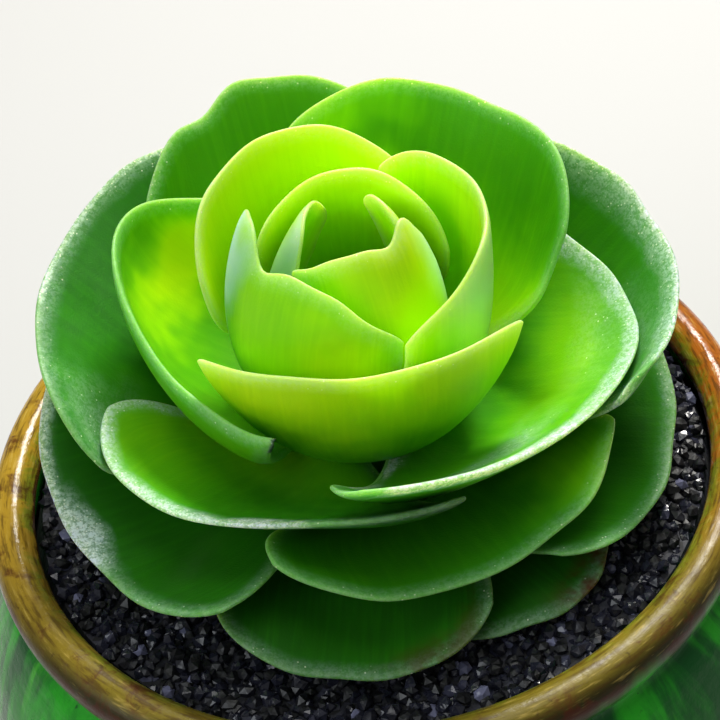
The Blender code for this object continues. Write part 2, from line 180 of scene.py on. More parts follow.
# Each leaf, from the heart outwards. Lengths are in millimetres and angles in degrees.
# azimuth: 0 faces the front and 90 the right; base: height of its foot on the stem;
# reach and rise: radius and height of its tip; start and end: slope of its midrib at foot and tip;
# cup: radius of the blade's cross curve at foot and tip. The rest, where a leaf has it:
# round: how much of its length the round tip takes; skew: how much longer its right side is;
# twist: turn of the tip about the midrib; dents: places across the tip's margin, where -1 is its
# left end and 1 its right, and how deep it dips there, or rises if negative; shoulder: where
# along its length the blade reaches its full width.
LEAVES = {
    "leaf_01": dict(azimuth=102, base=14.0, reach=4.6, rise=33.0, start=25, end=110, width=10.5,
                    cup=(6, 8), round=0.2, skew=0.15, dents=((-0.4, 0.1),)),
    "leaf_02": dict(azimuth=-90, base=13.4, reach=4.3, rise=34.0, start=12, end=120, width=17,
                    cup=(8, 7), round=0.3, skew=-0.12, dents=((0.35, 0.07),)),
    "leaf_03": dict(azimuth=22, base=12.8, reach=5.4, rise=36.0, start=12, end=128, width=18,
                    cup=(9, 6.2), round=0.05, skew=-0.03, dents=((0.1, 0.03), (0.42, -0.07), (1, 0.1))),
    "leaf_04": dict(azimuth=-48, base=12.3, reach=8.6, rise=36.7, start=12, end=126, width=26,
                    cup=(10, 10.2), round=0.16, skew=-0.12,
                    dents=((-1, 0.09), (-0.15, 0.09), (0.5, -0.02))),
    "leaf_05": dict(azimuth=174, base=11.9, reach=8.6, rise=33.2, start=10, end=100, width=23,
                    cup=(10, 10.2)),
    "leaf_06": dict(azimuth=88, base=11.5, reach=12.6, rise=34.8, start=5, end=90, width=31,
                    cup=(10, 12.5), round=0.2),
    "leaf_07": dict(azimuth=-152, base=11.1, reach=15.2, rise=34.0, start=5, end=86, width=29,
                    cup=(12, 14)),
    "leaf_08": dict(azimuth=-2, base=10.7, reach=15.2, rise=30.6, start=0, end=82, width=35,
                    cup=(13, 20), skew=0.03),
    "leaf_09": dict(azimuth=-99, base=9.4, reach=22.2, rise=25.9, start=-8, end=92, width=48,
                    cup=(17, 19.5), round=0.55, skew=-0.16, twist=22,
                    dents=((0.4, 0.05), (0.78, 0.08), (1.05, 0.2)), shoulder=0.4),
    "leaf_10": dict(azimuth=144, base=9.9, reach=25.0, rise=31.2, start=0, end=70, width=38,
                    cup=(14, 19), dents=((-0.12, 0.02),), shoulder=0.5),
    "leaf_11": dict(azimuth=57, base=9.5, reach=25.2, rise=21.0, start=-3, end=45, width=49,
                    cup=(17, 34), round=0.36, skew=-0.02, twist=-14,
                    dents=((-0.5, 0.02), (0.7, 0.04), (1, 0.14)), shoulder=0.4),
    "leaf_12": dict(azimuth=-38, base=9.1, reach=25.0, rise=18.7, start=-3, end=40, width=40,
                    cup=(17, 34), round=0.4, twist=17, dents=((0.75, -0.04),)),
    "leaf_13": dict(azimuth=-166, base=8.7, reach=31.0, rise=28.0, start=-3, end=60, width=31,
                    cup=(14, 22), round=0.42, dents=((0.35, 0.045),)),
    "leaf_14": dict(azimuth=-122, base=8.3, reach=33.4, rise=19.9, start=-3, end=34, width=48,
                    cup=(16, 34), round=0.5, skew=-0.06, dents=((-0.5, -0.03), (-1, 0.06), (1, 0.12))),
    "leaf_15": dict(azimuth=103, base=7.9, reach=32.0, rise=22.6, start=-3, end=45, width=38,
                    cup=(16, 28), skew=0.02, dents=((0.1, 0.02),)),
    "leaf_16": dict(azimuth=172, base=7.5, reach=32.0, rise=17.0, start=-3, end=34, width=32,
                    cup=(16, 28)),
    "leaf_17": dict(azimuth=18, base=7.2, reach=27.0, rise=13.5, start=0, end=26, width=38,
                    cup=(16, 30), dents=((-0.55, -0.03), (0.6, -0.03), (1, 0.06))),
    "leaf_18": dict(azimuth=-68, base=6.9, reach=32.2, rise=9.4, start=0, end=16, width=39,
                    cup=(16, 34), skew=-0.02),
    "leaf_19": dict(azimuth=140, base=6.6, reach=32.5, rise=10.5, start=0, end=20, width=30,
                    cup=(16, 32)),
    "leaf_20": dict(azimuth=66, base=6.3, reach=31.5, rise=10.0, start=0, end=20, width=32,
                    cup=(16, 34)),
    "leaf_21": dict(azimuth=-9, base=5.7, reach=32.0, rise=8.5, start=0, end=14, width=26,
                    cup=(16, 34)),
    "leaf_22": dict(azimuth=31, base=5.1, reach=30.9, rise=7.5, start=0, end=12, width=20,
                    cup=(16, 34)),
    "leaf_23": dict(azimuth=104, base=4.8, reach=31.5, rise=6.0, start=0, end=8, width=26,
                    cup=(16, 34)),
    "leaf_24": dict(azimuth=-150, base=4.5, reach=32.0, rise=8.0, start=0, end=14, width=30,
                    cup=(16, 34)),
    "leaf_25": dict(azimuth=168, base=4.2, reach=31.0, rise=5.0, start=0, end=6, width=28,
                    cup=(16, 34)),
}
PLAIN_LEAF = dict(round=0.3, skew=0.0, twist=0.0, dents=(), shoulder=0.7)
LEAF_SLOTS = ["inner_leaf"] * 7 + ["middle_leaf"] * 8 + ["outer_leaf"] * 10

# How each leaf looks. foot and tip: tone of its flesh at its lower and upper end, from 0, deep
# green, to 1, yellow-green; the tone is the leaf's own colour, yellow-green on young inner leaves
# and deep green on old outer ones, with painted shade in it, darker low down and in the hollow;
# turn: where along the leaf the tone changes; painted_side_light: painted light, how much lighter
# its right side is. The rest lists marks, each in an oval given by its place across and along the
# leaf, its half-width and its half-length, and then by how strong it is.
# painted_light: painted pools of light, or painted shade if negative; bloom_and_sheen: blue-green
# waxy coat on the lower face, with a painted reflection of the sky in it; wax_sheen_spots: white
# waxy grains painted with sheen and glints where light strikes them. rime_sheen is a white waxy band
# along the margin, painted with sheen and glints: its place across, half-width, strength, and how
# many millimetres wide it is. brown is a dry stain on the margin: its place across and strength.
LOOKS = {
    "leaf_01": dict(foot=0.4, tip=0.9),
    "leaf_02": dict(foot=0.45, tip=0.85, bloom_and_sheen=[(0.3, 0.9, 0.8, 0.5, 0.8)]),
    "leaf_03": dict(foot=0.8, tip=0.9, painted_light=[(-0.7, 0.8, 0.5, 0.5, -0.25), (0.1, 0.6, 0.5, 0.5, 0.15)],
                    bloom_and_sheen=[(0.8, 0.9, 0.5, 0.4, 0.7)]),
    "leaf_04": dict(foot=0.7, tip=0.7, painted_light=[(-0.35, 0.5, 0.35, 0.5, -0.4), (0.5, 0.6, 0.6, 0.5, 0.28)],
                    bloom_and_sheen=[(-0.65, 0.9, 0.5, 0.55, 1.0)]),
    "leaf_05": dict(foot=0.5, tip=1.0),
    "leaf_06": dict(foot=0.8, tip=0.9, bloom_and_sheen=[(-0.3, 0.8, 0.4, 0.4, 0.5)]),
    "leaf_07": dict(foot=0.95, tip=1.0),
    "leaf_08": dict(foot=0.5, tip=0.97, turn=0.62, painted_light=[(-0.3, 0.42, 0.9, 0.3, -0.15)]),
    "leaf_09": dict(foot=0.42, tip=0.38, painted_light=[(-0.5, 0.7, 0.6, 0.3, 0.62)]),
    "leaf_10": dict(foot=0.85, tip=0.33, painted_light=[(0.65, 0.9, 0.5, 0.4, 0.3)], rime_sheen=[(0.0, 1.0, 0.25, 1.2)]),
    "leaf_11": dict(foot=0.28, tip=0.4, painted_light=[(0.3, 0.65, 0.5, 0.3, 0.2), (-0.7, 0.7, 0.7, 0.4, -0.2)],
                    rime_sheen=[(0.3, 0.8, 0.85, 2.4), (-0.5, 0.4, 1.4, 1.8)],
                    wax_sheen_spots=[(-0.25, 0.72, 0.3, 0.2, 0.5), (0.4, 0.85, 0.4, 0.2, 0.15)]),
    "leaf_12": dict(foot=0.5, tip=0.22, turn=0.5, painted_side_light=-0.28, painted_light=[(-0.6, 0.8, 0.5, 0.3, 0.1)],
                    rime_sheen=[(-0.6, 0.8, 0.85, 1.6), (-0.1, 0.4, 1.0, 0.9)],
                    wax_sheen_spots=[(0.12, 1.0, 0.13, 0.08, 1.8)]),
    "leaf_13": dict(foot=0.5, tip=0.33, rime_sheen=[(0.4, 0.8, 0.3, 1.2)]),
    "leaf_14": dict(foot=0.16, tip=0.11, painted_light=[(0.6, 0.7, 0.5, 0.4, 0.12)],
                    rime_sheen=[(-0.2, 1.2, 0.28, 2.4), (-0.3, 0.7, 0.8, 0.8)],
                    wax_sheen_spots=[(0.65, 0.72, 0.35, 0.3, 0.35)]),
    "leaf_15": dict(foot=0.25, tip=0.2, rime_sheen=[(0.1, 1.2, 0.6, 3.8), (-0.2, 0.9, 1.1, 1.0)],
                    wax_sheen_spots=[(-0.4, 0.75, 0.4, 0.35, 0.2)]),
    "leaf_16": dict(foot=0.25, tip=0.2, rime_sheen=[(0.0, 0.8, 0.3, 1.5)]),
    "leaf_17": dict(foot=0.15, tip=0.22, painted_light=[(0.7, 0.8, 0.5, 0.5, 0.3)]),
    "leaf_18": dict(foot=0.1, tip=0.1, rime_sheen=[(-0.4, 0.55, 1.1, 1.5)], wax_sheen_spots=[(-0.02, 1.0, 0.28, 0.13, 1.5)]),
    "leaf_19": dict(foot=0.2, tip=0.18, rime_sheen=[(0.0, 0.8, 0.3, 1.5)]),
    "leaf_20": dict(foot=0.15, tip=0.18, rime_sheen=[(0.6, 0.4, 0.4, 1.5)]),
    "leaf_21": dict(foot=0.06, tip=0.08, brown=[(0.5, 0.6)]),
    "leaf_22": dict(foot=0.04, tip=0.06, brown=[(0.3, 1.0)]),
    "leaf_23": dict(foot=0.1, tip=0.12, brown=[(-0.3, 0.3)]),
    "leaf_24": dict(foot=0.1, tip=0.12, brown=[(0.0, 0.3)]),
    "leaf_25": dict(foot=0.06, tip=0.08, brown=[(0.3, 0.5)]),
}


def crown_to_world(points):
    """Points in the crown's frame, given in the pot's."""
    turn = np.array(CROWN.to_3x3())
    return points @ turn.T + np.array(CROWN.translation)


def stem_radius(height):
    """Radius of the stem above its root, at a height in the crown's frame."""
    share = min(max(height / STEM_TOP, 0), 1)
    return STEM_RADIUS - (STEM_RADIUS - STEM_TOP_RADIUS) * share ** 2


def midrib(leaf):
    """The curve from a leaf's foot to its tip, in the plane of its azimuth: lengths along it,
    radii, heights and slopes."""
    foot = np.array([stem_radius(leaf["base"] * MM) + LEAF_SEAT, leaf["base"] * MM])
    tip = np.array([leaf["reach"], leaf["rise"]]) * MM
    pull = MIDRIB_PULL * np.linalg.norm(tip - foot)
    start = math.radians(leaf["start"])
    end = math.radians(leaf["end"])
    near = foot + pull * np.array([math.cos(start), math.sin(start)])
    far = tip - pull * np.array([math.cos(end), math.sin(end)])
    t = np.linspace(0, 1, MIDRIB_POINTS)[:, None]
    curve = (1 - t) ** 3 * foot + 3 * (1 - t) ** 2 * t * near + 3 * (1 - t) * t ** 2 * far + t ** 3 * tip
    change = (1 - t) ** 2 * (near - foot) + 2 * (1 - t) * t * (far - near) + t ** 2 * (tip - far)
    steps = np.linalg.norm(np.diff(curve, axis=0), axis=1)
    along = np.concatenate([[0], np.cumsum(steps)])
    return along, curve[:, 0], curve[:, 1], np.unwrap(np.arctan2(change[:, 1], change[:, 0]))


def tip_outline(leaf, across):
    """How far along the leaf each column of its grid ends, as a share of its length."""
    arch = np.sqrt(1 - (0.98 * across) ** 2)
    ends = 1 - leaf["round"] + leaf["round"] * arch
    ends = ends * (1 + leaf["skew"] * across)
    for place, depth in leaf["dents"]:
        ends = ends - depth * np.exp(-((across - place) / DENT_WIDTH) ** 2)
    phase = math.radians(leaf["azimuth"] * 3) + leaf["base"]
    ripple = np.sin(5.3 * across + phase) + 0.6 * np.sin(11 * across + 2.3 * phase)
    return ends + RIPPLE * ripple


def leaf_surface(leaf, grid):
    """The middle surface of a leaf as a grid of points, rows from foot to tip and columns from
    left to right, with the blade's thickness at each point."""
    columns = np.sin(0.45 * math.pi * np.linspace(-1, 1, grid + 1)) / math.sin(0.45 * math.pi)
    across, row = np.meshgrid(columns, np.linspace(0, 1, grid + 1))
    share = row * (1 + (tip_outline(leaf, across) - 1) * row ** 0.7)
    along, radii, heights, slopes = midrib(leaf)
    length = share * along[-1]
    past_tip = np.clip(length - along[-1], 0, None)
    radius = np.interp(length, along, radii) + past_tip * math.cos(slopes[-1])
    height = np.interp(length, along, heights) + past_tip * math.sin(slopes[-1])
    slope = np.interp(length, along, slopes)
    widening = np.sin(math.pi / 2 * np.clip(share / leaf["shoulder"], 0, 1)) ** 1.3
    half_width = BASE_HALF_WIDTH + (leaf["width"] / 2 * MM - BASE_HALF_WIDTH) * widening
    cup = (leaf["cup"][0] + (leaf["cup"][1] - leaf["cup"][0]) * np.clip(share, 0, 1)) * MM
    bend = half_width * across / cup
    turn = math.radians(leaf["twist"]) * share
    side = cup * np.sin(bend) * np.cos(turn)
    inward = cup * (1 - np.cos(bend)) + cup * np.sin(bend) * np.sin(turn)
    radius = radius - np.sin(slope) * inward
    height = height + np.cos(slope) * inward
    azimuth = math.radians(leaf["azimuth"])
    x = radius * math.sin(azimuth) + side * math.cos(azimuth)
    y = -radius * math.cos(azimuth) + side * math.sin(azimuth)
    body = (1 - np.abs(across) ** 3) * (1 - np.clip((row - 0.55) / 0.45, 0, 1) ** 2)
    return np.stack([x, y, height], axis=-1), MARGIN + (BLADE - MARGIN) * body


def blurred(grid, times):
    """Each value of a grid mixed with its four neighbours."""
    for _ in range(times):
        wide = np.pad(grid, [(1, 1), (1, 1)] + [(0, 0)] * (grid.ndim - 2), mode="edge")
        near = wide[:-2, 1:-1] + wide[2:, 1:-1] + wide[1:-1, :-2] + wide[1:-1, 2:]
        grid = (near + 4 * grid) / 8
    return grid


def widened(grid):
    """Each value of a grid raised to the largest of its neighbours."""
    wide = np.pad(grid, 1, mode="edge")
    rows, columns = grid.shape
    return np.max([wide[i:i + rows, j:j + columns] for i in range(3) for j in range(3)], axis=0)


def undersides(points):
    """Smooth directions out of the lower side of a leaf's middle surface."""
    normal = np.cross(np.gradient(points, axis=1), np.gradient(points, axis=0))
    normal = blurred(normal / np.linalg.norm(normal, axis=2)[..., None], NORMAL_SMOOTHING)
    return normal / np.linalg.norm(normal, axis=2)[..., None]


def missing_gap(points, thickness, down, shift, tree):
    """How much further each point has to move to clear the leaves inside this one."""
    need = np.zeros(thickness.shape)
    for i, j in np.ndindex(need.shape):
        start = points[i, j] + down[i, j] * (shift[i, j] + PUSH_REACH)
        place, normal, _, distance = tree.ray_cast(Vector(start), Vector(-down[i, j]), 2 * PUSH_REACH)
        if place is None:
            continue
        gap = LEAF_GAP + (thickness[i, j] + BLADE) / 2
        gap /= max(abs(normal.dot(Vector(down[i, j]))), LEAST_SLANT)
        need[i, j] = max(0, gap - (distance - PUSH_REACH))
    return need


def pushed_clear(points, thickness, tree):
    """A leaf's middle surface eased outwards, smoothly, until it clears the leaves inside it."""
    down = undersides(points)
    wanted = np.zeros(thickness.shape)
    shift = wanted
    for _ in range(PUSH_ROUNDS):
        need = missing_gap(points, thickness, down, shift, tree)
        if need.max() < PUSH_TOLERANCE:
            break
        wanted = np.maximum(wanted, np.where(need > 0, shift + need, 0))
        nearby = blurred(widened(wanted), PUSH_SPREAD)
        shift = blurred(np.maximum(wanted, nearby), PUSH_SMOOTHING)
    return points + down * shift[..., None]


def between(count, finer):
    """Weights that read a row of values at finer steps, by smooth cubics through them."""
    places = np.linspace(0, count - 1, (count - 1) * finer + 1)
    weights = np.zeros((len(places), count))
    for row, place in enumerate(places):
        first = min(int(place), count - 2)
        t = place - first
        cubic = (-0.5 * t + t ** 2 - 0.5 * t ** 3, 1 - 2.5 * t ** 2 + 1.5 * t ** 3,
                 0.5 * t + 2 * t ** 2 - 1.5 * t ** 3, -0.5 * t ** 2 + 0.5 * t ** 3)
        for step, weight in enumerate(cubic):
            weights[row, min(max(first + step - 1, 0), count - 1)] += weight
    return weights


def grown_leaves():
    """Every leaf's fine middle surface and thickness, moved clear just as its solid was."""
    grown = {}
    corners = []
    faces = []
    squares = [(i, j) for i in range(GRID) for j in range(GRID)]
    weights = between(GRID + 1, FINER)
    for name, sizes in LEAVES.items():
        leaf = {**PLAIN_LEAF, **sizes}
        points, thickness = leaf_surface(leaf, GRID)
        settled = points
        if corners:
            settled = pushed_clear(points, thickness, BVHTree.FromPolygons(corners, faces))
        first = len(corners)
        corners += [tuple(point) for point in settled.reshape(-1, 3)]
        for i, j in squares:
            corner = first + i * (GRID + 1) + j
            faces.append((corner, corner + 1, corner + GRID + 2, corner + GRID + 1))
        fine, fine_thickness = leaf_surface(leaf, GRID * FINER)
        push = np.einsum("ai,bj,ijk->abk", weights, weights, settled - points)
        grown[name] = (crown_to_world(fine + push), fine_thickness)
    return grown


def upper_normals(points):
    """Unit directions out of the upper side of a surface's grid."""
    upper = np.cross(np.gradient(points, axis=0), np.gradient(points, axis=1))
    return upper / np.linalg.norm(upper, axis=2)[..., None]


def margin_loop(rows, columns):
    """The grid places round a leaf's margin, up its left side and down its right."""
    left = [(i, 0) for i in range(rows)]
    tip = [(rows - 1, j) for j in range(1, columns)]
    right = [(i, columns - 1) for i in range(rows - 2, -1, -1)]
    foot = [(0, j) for j in range(columns - 2, 0, -1)]
    return np.array(left + tip + right + foot)


def leaf_places(points):
    """For each point of a leaf's grid: its place across and along the blade, and its distance from
    the margin in millimetres."""
    rows, columns = points.shape[:2]
    loop = margin_loop(rows, columns)[:-(columns - 2)]
    rim = points[loop[:, 0], loop[:, 1]]
    away = np.linalg.norm(points[:, :, None] - rim[None, None], axis=3).min(axis=2)
    across, along = np.meshgrid(np.linspace(-1, 1, columns), np.linspace(0, 1, rows))
    return np.stack([across, along, away / MM], axis=-1)


def rolled_margin(rim, rim_up):
    """Rings of points that turn from a leaf's upper face, outwards round its margin, to the lower."""
    run = np.roll(rim, -1, axis=0) - np.roll(rim, 1, axis=0)
    out = np.cross(run, rim_up)
    out *= (np.linalg.norm(rim_up, axis=1) / np.linalg.norm(out, axis=1))[:, None]
    turns = math.pi * np.arange(1, ROLL_RINGS + 1) / (ROLL_RINGS + 1)
    return [rim + rim_up * math.cos(turn) + out * math.sin(turn) for turn in turns]


def leaf_mesh(name, points, thickness):
    """A closed leaf: an upper and a lower face, and a round margin that joins them."""
    rows, columns = thickness.shape
    places = leaf_places(points)
    inset = np.clip(places[..., 2] * MM / EDGE_WIDTH, 0, 1)
    thickness = thickness * (EDGE_SHARE + (1 - EDGE_SHARE) * np.sin(inset * math.pi / 2))
    half = upper_normals(points) * thickness[..., None] / 2
    loop = margin_loop(rows, columns)
    at_rim = (loop[:, 0], loop[:, 1])
    rings = rolled_margin(points[at_rim], half[at_rim])
    corners = np.concatenate([(points + half).reshape(-1, 3), (points - half).reshape(-1, 3), *rings])
    marks = np.concatenate([places.reshape(-1, 3)] * 2 + [places[at_rim]] * ROLL_RINGS)
    cell = np.arange(rows * columns).reshape(rows, columns)
    upper_face = grid_faces(cell)
    lower_face = upper_face[:, ::-1] + rows * columns
    first = 2 * rows * columns
    ring_rows = [cell[at_rim]]
    ring_rows += [first + k * len(loop) + np.arange(len(loop)) for k in range(ROLL_RINGS)]
    ring_rows.append(cell[at_rim] + rows * columns)
    margin_faces = ring_faces(np.array(ring_rows))[:, [0, 3, 2, 1]]
    mesh = mesh_from(name, corners, np.concatenate([upper_face, lower_face, margin_faces]), marks)
    under = np.zeros(len(corners), dtype=np.float32)
    under[rows * columns:first] = 1
    mesh.attributes.new("under", "FLOAT", "POINT").data.foreach_set("value", under)
    return mesh


def grid_faces(cell):
    """Quads between the neighbours in a grid of corner numbers."""
    quads = np.stack([cell[:-1, :-1], cell[1:, :-1], cell[1:, 1:], cell[:-1, 1:]], axis=-1)
    return quads.reshape(-1, 4)


def ring_faces(cell):
    """Quads between neighbouring rows of corner numbers, each row closed to a ring."""
    near, far = cell[:-1], cell[1:]
    quads = np.stack([near, np.roll(near, -1, axis=1), np.roll(far, -1, axis=1), far], axis=-1)
    return quads.reshape(-1, 4)


def mesh_from(name, corners, faces, marks):
    """A smooth mesh, with a vector kept at each corner, called places, for its material."""
    mesh = bpy.data.meshes.new(name)
    mesh.from_pydata(corners.tolist(), [], faces.tolist())
    mesh.shade_smooth()
    places = mesh.attributes.new("places", "FLOAT_VECTOR", "POINT")
    places.data.foreach_set("vector", marks.astype(np.float32).ravel())
    mesh.update()
    return mesh


def turned_mesh(name, profile, steps, closed=True):
    """A profile of (radius, height) points turned about Z, with each point's place round the turn
    and along the profile, in millimetres, kept for its material."""
    profile = np.array(profile)
    shape = (len(profile), steps)
    turns = 2 * math.pi * np.arange(steps) / steps
    circle = np.stack([np.cos(turns), np.sin(turns)], axis=-1)
    heights = np.broadcast_to(profile[:, None, 1:], (*shape, 1))
    corners = np.concatenate([profile[:, None, :1] * circle[None], heights], axis=-1)
    along = np.concatenate([[0], np.cumsum(np.linalg.norm(np.diff(profile, axis=0), axis=1))]) / MM
    marks = np.concatenate([np.broadcast_to(circle[None], (*shape, 2)),
                            np.broadcast_to(along[:, None, None], (*shape, 1))], axis=-1)
    cell = np.arange(len(profile) * steps).reshape(shape)
    if closed:
        cell = np.concatenate([cell, cell[:1]])
    return mesh_from(name, corners.reshape(-1, 3), ring_faces(cell)[:, ::-1], marks.reshape(-1, 3))


def fill_ends(mesh, sides):
    """Closes the rings of so many sides that are open at a mesh's ends."""
    bm = bmesh.new()
    bm.from_mesh(mesh)
    bmesh.ops.holes_fill(bm, edges=bm.edges, sides=sides)
    bm.to_mesh(mesh)
    bm.free()


def add_piece(name, mesh, material, slot, *nodes):
    """A piece that rides on the plant's one body, and stands for the solids it is given."""
    mesh.materials.append(material)
    piece = bpy.data.objects.new(name, mesh)
    bpy.context.scene.collection.objects.link(piece)
    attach(piece, "root")
    if nodes:
        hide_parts(*nodes)


def new_material(name):
    material = bpy.data.materials.new(name)
    material.use_nodes = True
    return material, material.node_tree, material.node_tree.nodes["Principled BSDF"]


def add_node(tree, kind, inputs=None, **settings):
    """A shader node with its settings, and its inputs as values or as sockets to link."""
    made = tree.nodes.new(kind)
    for key, value in settings.items():
        setattr(made, key, value)
    for key, value in (inputs or {}).items():
        if isinstance(value, bpy.types.NodeSocket):
            tree.links.new(value, made.inputs[key])
        else:
            made.inputs[key].default_value = value
    return made


def object_position(tree):
    return add_node(tree, "ShaderNodeTexCoord").outputs["Object"]


def kept_places(tree):
    """The vector that a mesh keeps at each of its corners."""
    return add_node(tree, "ShaderNodeAttribute", attribute_name="places").outputs["Vector"]


def parts_of(tree, vector):
    return add_node(tree, "ShaderNodeSeparateXYZ", {0: vector}).outputs


def first_channel(tree, colour):
    return add_node(tree, "ShaderNodeSeparateColor", {0: colour}).outputs[0]


def scaled(tree, vector, *factors):
    """A vector stretched along its three axes."""
    made = add_node(tree, "ShaderNodeVectorMath", {0: vector, 1: factors}, operation="MULTIPLY")
    return made.outputs[0]


def maths(tree, operation, first, second=0.0, third=0.0):
    made = add_node(tree, "ShaderNodeMath", {0: first, 1: second, 2: third}, operation=operation)
    return made.outputs[0]


def product(tree, first, *others):
    """All the values multiplied."""
    for other in others:
        first = maths(tree, "MULTIPLY", first, other)
    return first


def spread(tree, value, low, high, to_low=0.0, to_high=1.0):
    """A value's smooth rise from one bound to another."""
    bounds = {"Value": value, "From Min": low, "From Max": high, "To Min": to_low, "To Max": to_high}
    made = add_node(tree, "ShaderNodeMapRange", bounds, interpolation_type="SMOOTHSTEP")
    return made.outputs[0]


def blend(tree, factor, first, second):
    """One colour mixed into another."""
    made = add_node(tree, "ShaderNodeMix", {0: factor, 6: first, 7: second}, data_type="RGBA")
    return made.outputs[2]


def noise(tree, vector, scale, detail=2.0, roughness=0.5, distortion=0.0):
    made = add_node(tree, "ShaderNodeTexNoise", {"Vector": vector, "Scale": scale, "Detail": detail,
                                                 "Roughness": roughness, "Distortion": distortion})
    return made.outputs["Fac"]


def cells(tree, vector, scale):
    """Random cells: each place's Distance from its cell's middle, and the cell's own Color."""
    return add_node(tree, "ShaderNodeTexVoronoi", {"Vector": vector, "Scale": scale}).outputs


def bump(tree, height, distance, strength=1.0, normal=None):
    inputs = {"Height": height, "Distance": distance, "Strength": strength}
    if normal:
        inputs["Normal"] = normal
    return add_node(tree, "ShaderNodeBump", inputs).outputs[0]


def rgb(red, green, blue):
    """A screen colour, 0 to 255, as linear light."""
    parts = [value / 255 for value in (red, green, blue)]
    linear = [part / 12.92 if part <= 0.04045 else ((part + 0.055) / 1.055) ** 2.4 for part in parts]
    return (*linear, 1.0)


def flesh_colour(tree, tone):
    """Leaf colour, from the deepest green at tone 0 to the brightest yellow-green at 1."""
    red = maths(tree, "MULTIPLY_ADD", maths(tree, "POWER", tone, 2.0), 0.54, 0.012)
    green = maths(tree, "MULTIPLY_ADD", tone, 0.80, 0.075)
    return add_node(tree, "ShaderNodeCombineColor", {0: red, 1: green, 2: 0.004}).outputs[0]


def patch(tree, places, wander, across, along, half_width, half_length):
    """1 in the middle of an oval on a leaf, falling softly to 0 at its wandering border."""
    moved = add_node(tree, "ShaderNodeMapping", {
        "Vector": places,
        "Location": (-across / half_width, -along / half_length, 0),
        "Scale": (1 / half_width, 1 / half_length, 0),
    }).outputs[0]
    away = add_node(tree, "ShaderNodeVectorMath", {0: moved}, operation="LENGTH").outputs["Value"]
    return spread(tree, maths(tree, "ADD", away, wander), 1.05, 0.15)


def flesh_tone(tree, places, wander, veins, foot, tip, turn, painted_side_light, painted_light):
    """The tone of a leaf's flesh, kept between 0 and 1: its own colour, with painted light and shade in
    it.
    """
    across, along, _ = parts_of(tree, places)
    along = maths(tree, "MULTIPLY_ADD", wander, 0.25, along)
    # From foot to tip: the leaf's own colour, with painted shade where the leaf lies low or in the hollow
    tone = spread(tree, along, turn - 0.3, turn + 0.3, foot, tip)
    # Painted light: one side of the leaf lighter than the other
    tone = maths(tree, "MULTIPLY_ADD", across, painted_side_light, tone)
    tone = maths(tree, "ADD", tone, spread(tree, veins, 0.35, 0.8, -0.02, 0.02 + 0.03 * tip))
    # Painted pools of light, and painted shade where the gain is negative
    for *oval, gain in painted_light:
        tone = maths(tree, "MULTIPLY_ADD", patch(tree, places, wander, *oval), gain, tone)
    return maths(tree, "MINIMUM", maths(tree, "MAXIMUM", tone, 0.0), 1.0)


def wax_sheen_cover(tree, places, wander, rime_sheen, wax_sheen_spots):
    """How strongly painted sheen and glints lie on the leaf's white waxy skin: thinly on the whole margin,
    and more where it is given.
    """
    across, _, edge = parts_of(tree, places)
    cover = spread(tree, edge, 1.8, 0.2, 0.0, 0.2)
    for middle, half_width, strength, reach in rime_sheen:
        near = maths(tree, "ABSOLUTE", maths(tree, "SUBTRACT", across, middle))
        near = spread(tree, maths(tree, "ADD", near, wander), half_width, 0.55 * half_width)
        band = maths(tree, "MULTIPLY_ADD", wander, reach, edge)
        band = spread(tree, band, reach, 0.15 * reach)
        cover = maths(tree, "MAXIMUM", cover, product(tree, near, band, strength))
    for *oval, strength in wax_sheen_spots:
        spot = product(tree, patch(tree, places, wander, *oval), strength)
        cover = maths(tree, "MAXIMUM", cover, spot)
    return cover


def with_wax_sheen(tree, colour, position, cover):
    """Flesh under painted sheen on its waxy skin: a powdery white haze, and single painted glints where it
    is thick.
    """
    fine = noise(tree, position, 4600, 1, 0.7)
    powder = maths(tree, "ADD", noise(tree, position, 1700, 1, 0.6), fine)
    haze = product(tree, spread(tree, powder, 0.75, 1.25, 0.25, 0.8), cover)
    grains = cells(tree, position, 3400)
    lot = maths(tree, "MULTIPLY_ADD", cover, 0.4, first_channel(tree, grains["Color"]))
    dots = spread(tree, grains["Distance"], 0.38, 0.16)
    dots = product(tree, dots, spread(tree, lot, 1.0, 1.06), 0.6)
    colour = blend(tree, haze, colour, rgb(*WAX_SHEEN_HAZE))
    return blend(tree, dots, colour, rgb(*WAX_GLINT))


def browned(tree, colour, places, position, brown):
    """Flesh with dry brown stains on its margin."""
    across, _, edge = parts_of(tree, places)
    for middle, strength in brown:
        near = maths(tree, "ABSOLUTE", maths(tree, "SUBTRACT", across, middle))
        near = product(tree, spread(tree, near, 0.5, 0.1), spread(tree, edge, 3.6, 0.3))
        blotches = spread(tree, noise(tree, position, 420, 3, 0.6), 0.33, 0.6)
        colour = blend(tree, product(tree, near, blotches, strength), colour, rgb(*DRY_BROWN))
    return colour


